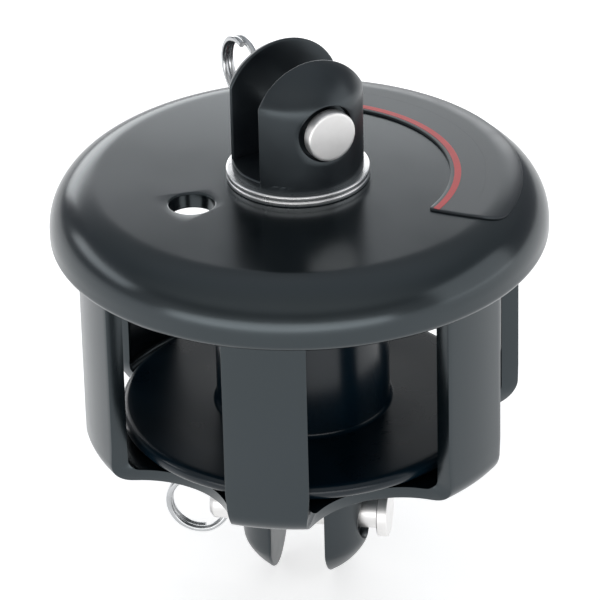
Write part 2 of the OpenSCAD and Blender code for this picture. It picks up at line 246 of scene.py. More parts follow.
def arc(centre, radius, start, end, steps):
    """Points (radius, height) along an arc, its angles in degrees from the outward direction."""
    return [
        (centre[0] + radius * math.cos(a), centre[1] + radius * math.sin(a))
        for a in (math.radians(start + (end - start) * i / steps) for i in range(steps + 1))
    ]


def turning(name, outline, segments=128):
    """A body turned about Z from a closed (radius, height) outline."""
    around = [2 * math.pi * j / segments for j in range(segments)]
    rows = [[(r * math.cos(a), r * math.sin(a), z) for a in around] for r, z in outline]
    return loft(name, rows, closed=True)


def close_up(mesh, weld=0.002 * MM, sharp=32):
    """Merges doubled points, turns faces outwards and smooths all but the sharp edges."""
    work = bmesh.new()
    work.from_mesh(mesh)
    bmesh.ops.remove_doubles(work, verts=work.verts, dist=weld)
    bmesh.ops.dissolve_degenerate(work, edges=work.edges, dist=weld)
    bmesh.ops.recalc_face_normals(work, faces=work.faces)
    for face in work.faces:
        face.smooth = True
    for edge in work.edges:
        edge.smooth = len(edge.link_faces) == 2 and edge.calc_face_angle() < math.radians(sharp)
    work.to_mesh(mesh)
    work.free()
    return mesh


def one_piece(name, meshes, finish):
    """Joins finished meshes into one object with one material, placed at the origin."""
    work = bmesh.new()
    for mesh in meshes:
        work.from_mesh(mesh)
    joined = bpy.data.meshes.new(name)
    work.to_mesh(joined)
    work.free()
    joined.materials.clear()
    joined.materials.append(finish)
    piece = bpy.data.objects.new(name, joined)
    scene.collection.objects.link(piece)
    return piece


def shader_group(name, inputs, outputs):
    """An empty shader node group with named float or vector inputs and outputs."""
    tree = bpy.data.node_groups.new(name, "ShaderNodeTree")
    for socket, kind, value in inputs:
        made = tree.interface.new_socket(socket, in_out="INPUT", socket_type=kind)
        if value is not None:
            made.default_value = value
    for socket, kind in outputs:
        tree.interface.new_socket(socket, in_out="OUTPUT", socket_type=kind)
    return tree, place(tree, "NodeGroupInput"), place(tree, "NodeGroupOutput")


# Fine grain and handling are shared by every finish but bare metal: an even microscopic texture,
# and soft patches where fingers and line have left the surface a little glossier.
grain, grain_in, grain_out = shader_group("fine_grain", [
    ("Vector", "NodeSocketVector", None),
    ("Grain Scale", "NodeSocketFloat", 9000.0),
    ("Patch Scale", "NodeSocketFloat", 60.0),
], [("Height", "NodeSocketFloat"), ("Patch", "NodeSocketFloat")])
grain_noise = place(grain, "ShaderNodeTexNoise", {
    "Vector": grain_in.outputs["Vector"],
    "Scale": grain_in.outputs["Grain Scale"],
    "Detail": 3.0,
    "Roughness": 0.6,
})
patch_noise = place(grain, "ShaderNodeTexNoise", {
    "Vector": grain_in.outputs["Vector"],
    "Scale": grain_in.outputs["Patch Scale"],
    "Detail": 4.0,
    "Roughness": 0.55,
    "Distortion": 0.4,
})
grain.links.new(grain_noise.outputs["Fac"], grain_out.inputs["Height"])
grain.links.new(patch_noise.outputs["Fac"], grain_out.inputs["Patch"])


def blotched(tree, mask, dark, light, roughness, low=0.3, high=0.7):
    """A colour and a roughness that each go from one value to another as a soft mask rises."""
    colour = ramp(tree, mask, [(low, dark), (high, light)])
    gloss = place(tree, "ShaderNodeMapRange", {
        "Value": mask,
        "From Min": low, "From Max": high,
        "To Min": roughness[0], "To Max": roughness[1],
    })
    return colour, gloss.outputs["Result"]


def grained_finish(
    name, dark, light, roughness, specular, grain_scale, patch_scale, depth, tint=(1.0, 1.0, 1.0, 1.0),
):
    """A grained surface: its colour goes from dark to light, and its gloss changes, by patches."""
    finish, tree = bare_material(name)
    coords = place(tree, "ShaderNodeTexCoord")
    surface = place(tree, "ShaderNodeGroup", node_tree=grain)
    tree.links.new(coords.outputs["Object"], surface.inputs["Vector"])
    surface.inputs["Grain Scale"].default_value = grain_scale
    surface.inputs["Patch Scale"].default_value = patch_scale
    colour, gloss = blotched(tree, surface.outputs["Patch"], dark, light, roughness)
    bump = place(tree, "ShaderNodeBump", {
        "Height": surface.outputs["Height"], "Strength": 0.12, "Distance": depth,
    })
    skin = place(tree, "ShaderNodeBsdfPrincipled", {
        "Base Color": colour,
        "Roughness": gloss,
        "Specular IOR Level": specular,
        "Specular Tint": tint,
        "Normal": bump.outputs["Normal"],
    })
    place(tree, "ShaderNodeOutputMaterial", {"Surface": skin.outputs["BSDF"]})
    return finish


cool_tint = (0.82, 0.94, 1.0, 1.0)
anodised_black = grained_finish(
    "anodised_black", dark=(0.003, 0.004, 0.006), light=(0.006, 0.008, 0.010),
    roughness=(0.30, 0.38), specular=0.75, tint=cool_tint,
    grain_scale=14000, patch_scale=90, depth=0.002 * MM,
)

clevis_r = 11.7 * MM
ball_end_r = 12.6 * MM
jaw_half = 4.95 * MM
pin_hole_r = 3.25 * MM
pocket_r = 5.2 * MM
pocket_floor = 9.57 * MM
rim_break = 0.25 * MM
bore_break = 0.2 * MM
ear_edge = 0.35 * MM
edge_tangent = ear_edge * 1.57
edge_start = 270
edge_sweep = 115
edge_steps = 5
crease_soft = 0.6 * MM
face_steps = 8
face_crowding = 1.2


def clevis_ear(base, pocket):
    """One side of a jaw about its pin, as loops that run from the jaw's face round to the outside."""
    ear_r = math.sqrt(clevis_r ** 2 - jaw_half ** 2)
    crown_r = math.sqrt(ball_end_r ** 2 - jaw_half ** 2)
    crease_z = math.sqrt(ball_end_r ** 2 - clevis_r ** 2)
    corner = math.degrees(math.atan2(base, ear_r))
    angles = [180 * i / 64 for i in range(65)]
    angles += [180 + corner * i / 12 for i in range(1, 13)]
    angles += [180 + corner + (180 - 2 * corner) * i / 24 for i in range(1, 25)]
    angles += [360 - corner + corner * i / 12 for i in range(1, 12)]
    landing = edge_tangent + ear_edge * math.cos(math.radians(edge_start - edge_sweep))

    def outside(y, z):
        """How far out the bar or the ball end lies, with a soft crease where the two meet."""
        bar = math.sqrt(clevis_r ** 2 - y * y)
        if z <= 0:
            return bar
        ball = math.sqrt(ball_end_r ** 2 - y * y - z * z)
        near = max(0, 1 - abs(bar - ball) / crease_soft)
        return min(bar, ball) - near * near * crease_soft / 4

    def edge_point(angle, inset):
        """A point of the ear's outline at an angle: round above the pin, straight below it."""
        c, s = math.cos(math.radians(angle)), math.sin(math.radians(angle))
        if angle <= 180:
            reach = min(crown_r - inset, (ear_r - inset) / max(abs(c), 1e-6))
            return reach * c, reach * s
        if abs(s) * ear_r < abs(c) * base * 0.9999:
            return math.copysign(ear_r - inset, c), ear_r * s / abs(c)
        limit = ear_r - inset
        return max(-limit, min(limit, base * c / abs(s))), -base

    def circle(radius):
        """Points round the pin's axis, one for each angle of the outline."""
        return [(radius * math.cos(math.radians(a)), radius * math.sin(math.radians(a))) for a in angles]

    def ring(radius, depth):
        """A loop round the pin's axis at a depth that may change along it."""
        return [(depth(y, z), y, z) for y, z in circle(radius)]

    inside = pocket_r if pocket else pin_hole_r
    rim_edge = circle(inside + rim_break)
    inner_edge = [edge_point(a, edge_tangent) for a in angles]
    outer_edge = [edge_point(a, landing) for a in angles]
    loops = []
    for share in (0, 0.35, 0.7, 1):
        loops.append([
            (jaw_half, n[0] + (f[0] - n[0]) * share, n[1] + (f[1] - n[1]) * share)
            for n, f in zip(circle(pin_hole_r + bore_break), inner_edge)
        ])
    for i in range(1, edge_steps):
        turn = math.radians(edge_start - edge_sweep * i / edge_steps)
        inset = edge_tangent + ear_edge * math.cos(turn)
        depth = jaw_half + ear_edge + ear_edge * math.sin(turn)
        row = []
        for a in angles:
            y, z = edge_point(a, inset)
            low = z <= -base + 1e-9
            row.append((jaw_half + (outside(y, z) - jaw_half) * i / edge_steps if low else depth, y, z))
        loops.append(row)
    creases = []
    for (y, z), (rim_y, rim_z) in zip(outer_edge, rim_edge):
        cross = (z - crease_z) / (z - rim_z) if z > crease_z else 0
        creases.append(min(0.95, max(0.05, cross)))
    for step in range(2 * face_steps + 1):
        row = []
        for (y, z), (rim_y, rim_z), crease in zip(outer_edge, rim_edge, creases):
            if step <= face_steps:
                share = crease * (1 - (1 - step / face_steps) ** face_crowding)
            else:
                share = crease + (1 - crease) * (step / face_steps - 1) ** face_crowding
            at_y = y + (rim_y - y) * share
            at_z = z + (rim_z - z) * share
            row.append((outside(at_y, at_z), at_y, at_z))
        loops.append(row)
    rim_mid = 0.07 * MM
    loops.append(ring(inside + rim_mid, lambda y, z: outside(y, z) - rim_mid))
    loops.append(ring(inside, lambda y, z: outside(y, z) - rim_break))
    if pocket:
        loops.append(ring(pocket_r, lambda y, z: pocket_floor + bore_break))
        loops.append(ring(pocket_r - bore_break, lambda y, z: pocket_floor))
        loops.append(ring(pin_hole_r + bore_break, lambda y, z: pocket_floor))
        loops.append(ring(pin_hole_r, lambda y, z: pocket_floor - bore_break))
    loops.append(ring(pin_hole_r, lambda y, z: jaw_half + bore_break))
    return loops


def clevis_bar(name, base, jaw_base, stem_r, stem_length, place_at):
    """Two ears on a round foot with a chamfered stem, moved from the pin's centre to its place."""
    meshes = []
    for side, pocket in ((1, True), (-1, False)):
        loops = clevis_ear(base, pocket)
        meshes.append(loft(name, [[(side * x, y, z) for x, y, z in row] for row in loops], closed=True))
    foot_r = clevis_r - 0.02 * MM
    soft = 0.3 * MM
    bevel = 0.8 * MM
    foot = [(0, -jaw_base), (foot_r - soft, -jaw_base)]
    foot += arc((foot_r - soft, -jaw_base - soft), soft, 75, 0, 4)
    foot += [(foot_r, -base), (stem_r, -base), (stem_r, -base - stem_length + bevel)]
    foot += [(stem_r - bevel, -base - stem_length), (0, -base - stem_length)]
    meshes.append(turning(name, foot))
    for mesh in meshes:
        mesh.transform(place_at)
        close_up(mesh)
    return one_piece(name, meshes, anodised_black)


guard_low, guard_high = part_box("line_guard")
plate_z = guard_low.z
lower_jaw_base = plate_z - 7 * MM
lower_stem_r = 5 * MM
lower_stem_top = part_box("lower_clevis")[1].z
lower_clevis = clevis_bar(
    "lower_clevis_bar", plate_z, lower_jaw_base, lower_stem_r, lower_stem_top - plate_z,
    Matrix.Rotation(math.pi, 4, "X"),
)
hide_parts("lower_clevis")
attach(lower_clevis, "stator")


# Line guard: one black moulding, a scalloped plate clamped on the stem with six fingers that
# stand up inside the cap's rim and keep the line on the spool. One finger's sector is repeated.
moulded_black = grained_finish(
    "moulded_black", dark=(0.001, 0.003, 0.004), light=(0.002, 0.004, 0.006),
    roughness=(0.19, 0.24), specular=0.8, tint=cool_tint,
    grain_scale=5200, patch_scale=45, depth=0.001 * MM,
)
finger_count = 6
finger_half_w = 7.45 * MM
finger_t = 3.2 * MM
plate_t = 2.4 * MM
guard_bend = 4 * MM
guard_r = guard_high.y
finger_top = guard_high.z
finger_inner = guard_r - finger_t
plate_top = plate_z + plate_t
half_step = math.pi / finger_count
finger_half = math.asin(finger_half_w / guard_r)
window_half = half_step - finger_half
scallop_at = 29.8 * MM
scallop_x = finger_inner * math.cos(window_half) - scallop_at
scallop_y = finger_inner * math.sin(window_half)
scallop_r = (scallop_x ** 2 + scallop_y ** 2) / 2 / scallop_x
scallop_centre = scallop_at + scallop_r
scallop_draft = 1.2 * MM
draft_height = 7 * MM
draft_below = 1 * MM
root_fillet = 2.2 * MM
plate_slack = 0.05 * MM


def scallop_radius(z):
    """The scallop's radius at a height: it has a little draft, for the mould."""
    return scallop_r - scallop_draft * (z - plate_z + draft_below) / draft_height


def sector_half(r, z):
    """Half the angle that the guard fills at a radius and height, from a finger's middle."""
    size = scallop_radius(z)
    bite = (r * r + scallop_centre ** 2 - size ** 2) / (2 * r * scallop_centre)
    filled = half_step - (math.acos(bite) if bite < 1 else 0)
    rise = z - plate_top
    if rise < plate_slack:
        return filled
    flare = root_fillet - math.sqrt(rise * (2 * root_fillet - rise)) if rise < root_fillet else 0
    return min(filled, finger_half + flare / r)


def finger_row(r, z, columns=14):
    """Points across one finger's sector at a radius and height."""
    half = sector_half(r, z)
    turns = [half * (2 * i / columns - 1) - math.pi / 2 for i in range(columns + 1)]
    return [(r * math.cos(a), r * math.sin(a), z) for a in turns]


def scallop_radii(z, last):
    """Radii that follow the scallop evenly round, from its deepest point out to a radius."""
    size = scallop_radius(z)
    reach = math.acos((last ** 2 + scallop_centre ** 2 - size ** 2) / (2 * last * scallop_centre))
    bites = [reach * i / 16 for i in range(17)]
    return [
        scallop_centre * math.cos(b) - math.sqrt(size ** 2 - (scallop_centre * math.sin(b)) ** 2)
        for b in bites
    ]


bend_inner = guard_bend - plate_t
tip_r = finger_t / 2
stem_bore = 5.05 * MM
plate_radii = [stem_bore, 12 * MM, 18 * MM, 24 * MM, 28 * MM]
finger_base = plate_z + guard_bend
heights = [finger_base + (finger_top - tip_r - finger_base) * i / 10 for i in range(1, 10)]
under = [(r, plate_z) for r in plate_radii]
under += [(r, plate_z) for r in scallop_radii(plate_z, guard_r - guard_bend)]
under += arc((guard_r - guard_bend, plate_z + guard_bend), guard_bend, -90, 0, 10)[1:]
under += [(guard_r, z) for z in heights]
under += arc((guard_r - tip_r, finger_top - tip_r), tip_r, 0, 90, 5)
over = [(r, plate_top) for r in plate_radii]
over += [(r, plate_top) for r in scallop_radii(plate_top, finger_inner - bend_inner)]
over += arc((finger_inner - bend_inner, plate_top + bend_inner), bend_inner, -90, 0, 10)[1:]
over += [(finger_inner, z) for z in heights]
over += arc((finger_inner + tip_r, finger_top - tip_r), tip_r, 180, 90, 5)
outer_rows = [finger_row(r, z) for r, z in under]
inner_rows = [finger_row(r, z) for r, z in over]
columns = len(outer_rows[0])
last = columns - 1
sector_points = [p for row in outer_rows + inner_rows for p in row]
sector_faces = []
inner_start = len(outer_rows) * columns
for i in range(len(outer_rows) - 1):
    here, there = i * columns, (i + 1) * columns
    back, ahead = inner_start + here, inner_start + there
    for j in range(last):
        sector_faces.append((here + j, here + j + 1, there + j + 1, there + j))
        sector_faces.append((back + j, ahead + j, ahead + j + 1, back + j + 1))
    if i >= len(plate_radii):
        sector_faces.append((here, there, ahead, back))
        sector_faces.append((here + last, back + last, ahead + last, there + last))
for j in range(last):
    sector_faces.append((j, inner_start + j, inner_start + j + 1, j + 1))
sector_mesh = bpy.data.meshes.new("finger_sector")
sector_mesh.from_pydata(sector_points, [], sector_faces)


def geometry_tree(name, inputs):
    """An empty geometry node tree with a geometry in and out and named inputs for its sizes."""
    tree = bpy.data.node_groups.new(name, "GeometryNodeTree")
    tree.interface.new_socket("Geometry", in_out="INPUT", socket_type="NodeSocketGeometry")
    tree.interface.new_socket("Geometry", in_out="OUTPUT", socket_type="NodeSocketGeometry")
    for socket, kind in inputs:
        tree.interface.new_socket(socket, in_out="INPUT", socket_type=kind)
    return tree, place(tree, "NodeGroupInput"), place(tree, "NodeGroupOutput")


def bake(piece):
    """Turns an object with modifiers into the plain mesh that they make, and removes the object."""
    bpy.context.view_layer.update()
    seen = piece.evaluated_get(bpy.context.evaluated_depsgraph_get())
    mesh = bpy.data.meshes.new_from_object(seen)
    bpy.data.objects.remove(piece)
    return mesh


def grow(name, mesh, tree, values):
    """Runs a geometry tree on a mesh with its input values and keeps the result as a plain mesh."""
    seed = bpy.data.objects.new(name, mesh)
    scene.collection.objects.link(seed)
    steps = seed.modifiers.new("grow", "NODES")
    steps.node_group = tree
    for item in tree.interface.items_tree:
        if item.in_out == "INPUT" and item.name in values:
            steps[item.identifier] = values[item.name]
    return bake(seed)


ring_tree, ring_in, ring_out = geometry_tree("finger_ring", [
    ("Fingers", "NodeSocketInt"), ("Weld", "NodeSocketFloat"), ("Finish", "NodeSocketMaterial"),
])
finger_points = place(ring_tree, "GeometryNodePoints", {"Count": ring_in.outputs["Fingers"]})
finger_index = place(ring_tree, "GeometryNodeInputIndex")
finger_turn = place(ring_tree, "ShaderNodeMath", {
    0: 2 * math.pi, 1: ring_in.outputs["Fingers"],
}, operation="DIVIDE")
finger_angle = place(ring_tree, "ShaderNodeMath", {
    0: finger_turn.outputs[0], 1: finger_index.outputs["Index"],
}, operation="MULTIPLY")
finger_spin = place(ring_tree, "ShaderNodeCombineXYZ", {"Z": finger_angle.outputs[0]})
finger_copies = place(ring_tree, "GeometryNodeInstanceOnPoints", {
    "Points": finger_points.outputs[0],
    "Instance": ring_in.outputs["Geometry"],
    "Rotation": finger_spin.outputs[0],
})
finger_solid = place(ring_tree, "GeometryNodeRealizeInstances", {"Geometry": finger_copies.outputs[0]})
finger_weld = place(ring_tree, "GeometryNodeMergeByDistance", {
    "Geometry": finger_solid.outputs[0], "Distance": ring_in.outputs["Weld"],
})
finger_finish = place(ring_tree, "GeometryNodeSetMaterial", {
    "Geometry": finger_weld.outputs[0], "Material": ring_in.outputs["Finish"],
})
ring_tree.links.new(finger_finish.outputs[0], ring_out.inputs["Geometry"])
sector_weld = 0.01 * MM
guard_edge = 0.45 * MM
guard_sharp = 50
guard_mesh = close_up(grow("finger_sector", sector_mesh, ring_tree, {
    "Fingers": finger_count, "Weld": sector_weld, "Finish": moulded_black,
}))


def soften(mesh, width, angle, segments=3):
    """Rounds every edge sharper than an angle, as a mould or a deburring tool leaves it."""
    piece = bpy.data.objects.new("soften", mesh)
    scene.collection.objects.link(piece)
    edges = piece.modifiers.new("edges", "BEVEL")
    edges.width = width
    edges.segments = segments
    edges.limit_method = "ANGLE"
    edges.angle_limit = math.radians(angle)
    return close_up(bake(piece))


line_guard = one_piece("guard_moulding", [soften(guard_mesh, guard_edge, guard_sharp)], moulded_black)
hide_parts("line_guard")
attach(line_guard, "stator")


# Stem fastenings and bearings: nuts and washers of stainless steel, hardened races with two rows
# of steel balls in nylon cages, and a rubber seal, all closed in between the hub and the stem.
lines, lines_in, lines_out = shader_group("turning_lines", [
    ("Vector", "NodeSocketVector", None),
    ("Line Scale", "NodeSocketFloat", 6000.0),
    ("Scuff Scale", "NodeSocketFloat", 300.0),
], [("Height", "NodeSocketFloat"), ("Scuff", "NodeSocketFloat")])
lines_flat = place(lines, "ShaderNodeVectorMath", {
    0: lines_in.outputs["Vector"], 1: (1, 1, 0),
}, operation="MULTIPLY")
lines_radius = place(lines, "ShaderNodeVectorMath", {0: lines_flat.outputs["Vector"]}, operation="LENGTH")
lines_noise = place(lines, "ShaderNodeTexNoise", {
    "W": lines_radius.outputs["Value"], "Scale": lines_in.outputs["Line Scale"], "Detail": 2.0,
}, noise_dimensions="1D")
scuff_noise = place(lines, "ShaderNodeTexNoise", {
    "Vector": lines_in.outputs["Vector"], "Scale": lines_in.outputs["Scuff Scale"], "Detail": 5.0,
})
lines.links.new(lines_noise.outputs["Fac"], lines_out.inputs["Height"])
lines.links.new(scuff_noise.outputs["Fac"], lines_out.inputs["Scuff"])


def metal_finish(
    name, dark, light, roughness, line_scale, scuff_scale, depth, centre=(0, 0, 0), turn=(0, 0, 0),
):
    """A bare metal with turning lines about an axis through centre, and faint scuffs in its gloss."""
    finish, tree = bare_material(name)
    coords = place(tree, "ShaderNodeTexCoord")
    axis = place(tree, "ShaderNodeMapping", {
        "Vector": coords.outputs["Object"], "Location": centre, "Rotation": turn,
    }, vector_type="TEXTURE")
    surface = place(tree, "ShaderNodeGroup", node_tree=lines)
    tree.links.new(axis.outputs["Vector"], surface.inputs["Vector"])
    surface.inputs["Line Scale"].default_value = line_scale
    surface.inputs["Scuff Scale"].default_value = scuff_scale
    colour, gloss = blotched(tree, surface.outputs["Scuff"], dark, light, roughness)
    bump = place(tree, "ShaderNodeBump", {
        "Height": surface.outputs["Height"], "Strength": 0.3, "Distance": depth,
    })
    skin = place(tree, "ShaderNodeBsdfPrincipled", {
        "Base Color": colour,
        "Metallic": 1.0,
        "Roughness": gloss,
        "Normal": bump.outputs["Normal"],
    })
    place(tree, "ShaderNodeOutputMaterial", {"Surface": skin.outputs["BSDF"]})
    return finish


stainless = metal_finish(
    "stainless", dark=(0.84, 0.84, 0.84), light=(0.88, 0.88, 0.88), roughness=(0.26, 0.32),
    line_scale=3000, scuff_scale=350, depth=0.0003 * MM,
)
bearing_steel = metal_finish(
    "bearing_steel", dark=(0.46, 0.47, 0.49), light=(0.56, 0.57, 0.58), roughness=(0.12, 0.2),
    line_scale=9000, scuff_scale=500, depth=0.002 * MM,
)
natural_nylon = grained_finish(
    "natural_nylon", dark=(0.72, 0.69, 0.60), light=(0.80, 0.77, 0.69),
    roughness=(0.42, 0.55), specular=0.5,
    grain_scale=4200, patch_scale=200, depth=0.01 * MM,
)
seal_rubber = grained_finish(
    "seal_rubber", dark=(0.018, 0.018, 0.018), light=(0.03, 0.03, 0.03),
    roughness=(0.6, 0.75), specular=0.4,
    grain_scale=3800, patch_scale=160, depth=0.02 * MM,
)


def dress(members, finish):
    """Gives a finish to CAD nodes that keep their own solids."""
    for member in members:
        nodes[member].data.materials.clear()
        nodes[member].data.materials.append(finish)


dress(("guard_washer", "guard_nut", "stem_washer", "stem_nut"), stainless)
dress((
    "lower_inner_race", "inner_spacer", "upper_inner_race", "lower_balls", "upper_balls",
    "lower_outer_race", "outer_spacer", "upper_outer_race", "top_spacer", "bearing_retainer",
), bearing_steel)
dress(("lower_ball_cage", "upper_ball_cage"), natural_nylon)
dress(("stem_seal",), seal_rubber)


# Spool: the hub and its lower flange, turned from one bar of aluminium and anodised black. The
# hub and the flange's round edge have a glossy lacquer, the flange's face none. The cap is doweled on.
polished_black = grained_finish(
    "polished_black", dark=(0.001, 0.006, 0.011), light=(0.002, 0.009, 0.016),
    roughness=(0.26, 0.32), specular=0.05, tint=cool_tint,
    grain_scale=16000, patch_scale=70, depth=0.001 * MM,
)
spool_low, spool_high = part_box("spool")
hub_r = 15.75 * MM
hub_bore = 12.5 * MM
flange_t = 2.8 * MM
flange_edge = flange_t / 2
hub_fillet = 0.8 * MM
flange_r = spool_high.x
flange_top = spool_low.z + flange_t
flange_mid = (hub_r + flange_r) / 2
flange_flat = flange_r - 1.5 * flange_edge
web_t = 6 * MM
web_z = spool_high.z - web_t
hub_margin = 2 * MM
shank_bore = 6.05 * MM
bore_bevel = 0.4 * MM
spool_outline = [(hub_bore + bore_bevel, spool_low.z)]
spool_outline += [(flange_mid, spool_low.z), (flange_flat, spool_low.z)]
spool_outline += arc((flange_r - flange_edge, spool_low.z + flange_edge), flange_edge, -90, 90, 16)
spool_outline += [(flange_flat, flange_top), (flange_mid, flange_top)]
spool_outline += arc((hub_r + hub_fillet, flange_top + hub_fillet), hub_fillet, 270, 180, 10)
spool_outline += [(hub_r, flange_top + 1.5 * hub_fillet), (hub_r, spool_high.z - hub_margin)]
spool_outline += [(hub_r, spool_high.z), (shank_bore, spool_high.z), (shank_bore, web_z)]
spool_outline += [(hub_bore, web_z), (hub_bore, spool_low.z + bore_bevel)]
spool_tree = polished_black.node_tree
spool_place = place(spool_tree, "ShaderNodeTexCoord")
spool_level = place(spool_tree, "ShaderNodeVectorMath", {
    0: spool_place.outputs["Object"], 1: (1 / flange_r, 1 / flange_r, 0),
}, operation="MULTIPLY")
spool_out = place(spool_tree, "ShaderNodeVectorMath", {
    0: spool_level.outputs["Vector"],
}, operation="LENGTH")
lacquer_full = hub_r + 0.01 * MM
lacquer_none = hub_r + 0.06 * MM
lacquer = ramp(spool_tree, spool_out.outputs["Value"], [
    (lacquer_full / flange_r, 1.0),
    (lacquer_none / flange_r, 0.0),
    (1 - flange_edge / flange_r, 0.0),
    (1 - 0.6 * flange_edge / flange_r, 0.7),
], "LINEAR")
spool_skin = next(node for node in spool_tree.nodes if node.type == "BSDF_PRINCIPLED")
spool_skin.inputs["Coat Roughness"].default_value = 0.22
spool_tree.links.new(lacquer, spool_skin.inputs["Coat Weight"])
spool = one_piece("spool_turning", [close_up(turning("spool", spool_outline, 192))], polished_black)
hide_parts("spool")
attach(spool, "drum")


# Cap: the spool's upper flange, a dished black moulding whose rounded rim comes down outside the
# fingers. The furling line is knotted under its one open hole, which has broken edges.
cap_r = cap_high.x
cap_top = cap_high.z
cap_t = 3.1 * MM
cap_under = cap_top - cap_t
cap_wall = 3 * MM
cap_round = 8.6 * MM
cap_lip = cap_wall / 2
cap_inner_round = cap_round - cap_wall
drum_turn = math.radians(-52)
line_hole_r = 4 * MM
line_hole_at = 21.3 * MM
line_hole_break = 0.4 * MM
lip_margin = 0.5 * MM
top_rings = (13, 16, 27, 31, 34, 35.2)
under_rings = (34, 27, 16)
cap_outline = [(shank_bore, cap_under), (shank_bore, cap_top)]
cap_outline += [(r * MM, cap_top) for r in top_rings]
cap_outline += arc((cap_r - cap_round, cap_top - cap_round), cap_round, 90, 0, 40)
cap_outline += [(cap_r, cap_low.z + cap_lip + lip_margin)]
cap_outline += arc((cap_r - cap_lip, cap_low.z + cap_lip), cap_lip, 0, -180, 20)
cap_outline += arc(
    (cap_r - cap_wall - cap_inner_round, cap_under - cap_inner_round), cap_inner_round, 0, 90, 20,
)
cap_outline += [(r * MM, cap_under) for r in under_rings]


def bored(mesh, cutter):
    """Cuts one closed mesh out of another."""
    tool = bpy.data.objects.new("cutter", close_up(cutter))
    piece = bpy.data.objects.new("bored", mesh)
    scene.collection.objects.link(tool)
    scene.collection.objects.link(piece)
    cut = piece.modifiers.new("cut", "BOOLEAN")
    cut.operation = "DIFFERENCE"
    cut.solver = "EXACT"
    cut.object = tool
    made = bake(piece)
    bpy.data.objects.remove(tool)
    return close_up(made)


def flared_drill(radius, low, high, flare):
    """A drill whose ends flare, so that the hole's edges come out rounded."""
    spare = 1 * MM
    wide = radius + flare
    outline = [(0, low - spare), (wide, low - spare)]
    outline += arc((wide, low + flare), flare, 270, 180, 6)
    outline += arc((wide, high - flare), flare, 180, 90, 6)
    outline += [(wide, high + spare), (0, high + spare)]
    return turning("drill", outline, 64)


line_drill = flared_drill(line_hole_r, cap_under, cap_top, line_hole_break)
line_drill.transform(Matrix.Rotation(drum_turn - math.pi / 2, 4, "Z"))
line_drill.transform(Matrix.Translation(
    Matrix.Rotation(drum_turn, 3, "Z") @ Vector((0, -line_hole_at, 0)),
))
cap_mesh = bored(close_up(turning("cap", cap_outline, 256)), line_drill)
cap = one_piece("cap_moulding", [cap_mesh], moulded_black)
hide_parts("cap")
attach(cap, "drum")
dress(("cap_dowels",), stainless)


# Label band: a thick vinyl strip on the cap's top and shoulder, left plain, with a red line
# along its inner edge. Its ends lean back and its outer corners are cut round.
label_t = 0.4 * MM
label_inner = 27 * MM
label_solid_outer = 38.6 * MM
label_overlap = 1.2 * MM
label_outer = label_solid_outer + label_overlap
label_start = math.radians(29)
label_end = label_start + math.radians(134)
label_corners = (0.6 * MM, 3.4 * MM)
label_edge = 0.1 * MM
label_lean = math.radians(4)
label_finish = grained_finish(
    "label_vinyl", dark=(0.020, 0.022, 0.025), light=(0.028, 0.030, 0.034),
    roughness=(0.30, 0.38), specular=0.6, tint=cool_tint,
    grain_scale=7000, patch_scale=120, depth=0.001 * MM,
)


def cap_skin(distance, lift):
    """A point (radius, height) on the cap's top, a distance out from the axis and lifted off it."""
    flat_r = cap_r - cap_round
    if distance <= flat_r:
        return distance, cap_top + lift
    lean = (distance - flat_r) / cap_round
    reach = cap_round + lift
    return flat_r + reach * math.sin(lean), cap_top - cap_round + reach * math.cos(lean)


def strip_on_cap(name, inner, outer, start, end, low, high, corners, edge, lean):
    """A raised strip on the cap between two distances and two angles. Its inner and outer corners are
    rounded, and its ends lean back by an angle towards the outside."""
    middle = (inner + outer) / 2
    half_w = (outer - inner) / 2
    half_l = (end - start) / 2 * middle
    outline = []
    for cx, cy, turn in ((1, 1, 0), (-1, 1, 90), (-1, -1, 180), (1, -1, 270)):
        corner = corners[1] if cy > 0 else corners[0]
        for a in range(0, 91, 10):
            t = math.radians(turn + a)
            outline.append((
                cx * (half_l - corner) + corner * math.cos(t),
                cy * (half_w - corner) + corner * math.sin(t),
            ))
    spacing = 0.8 * MM
    fine = []
    for i, (x, y) in enumerate(outline):
        nx, ny = outline[(i + 1) % len(outline)]
        steps = max(1, int(math.hypot(nx - x, ny - y) / spacing))
        fine += [(x + (nx - x) * k / steps, y + (ny - y) * k / steps) for k in range(steps)]

    def row(shrink, lift):
        """The strip's outline drawn in by a distance and laid on the cap."""
        points = []
        for x, y in fine:
            sx = x * (1 - shrink / half_l)
            sy = y * (1 - shrink / half_w)
            narrowing = 1 - lean * (sy / half_w + 1) / (end - start)
            angle = (start + end) / 2 + sx / middle * narrowing + drum_turn
            r, z = cap_skin(middle + sy, lift)
            points.append((r * math.cos(angle), r * math.sin(angle), z))
        return points

    centre = half_w * 0.999
    rows = [row(centre, low), row(half_w * 0.5, low), row(0, low), row(0, high - edge)]
    rows += [row(edge * 0.3, high - edge * 0.3), row(edge, high)]
    rows += [row(edge + (half_w - edge) * f / 20, high) for f in range(1, 20)]
    rows.append(row(centre, high))
    return loft(name, rows, closed=True)


label_mesh = close_up(strip_on_cap(
    "label", label_inner, label_outer, label_start, label_end,
    0, label_t, label_corners, label_edge, label_lean,
))
label_band = one_piece("label_strip", [label_mesh], label_finish)
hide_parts("label_band")
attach(label_band, "drum")

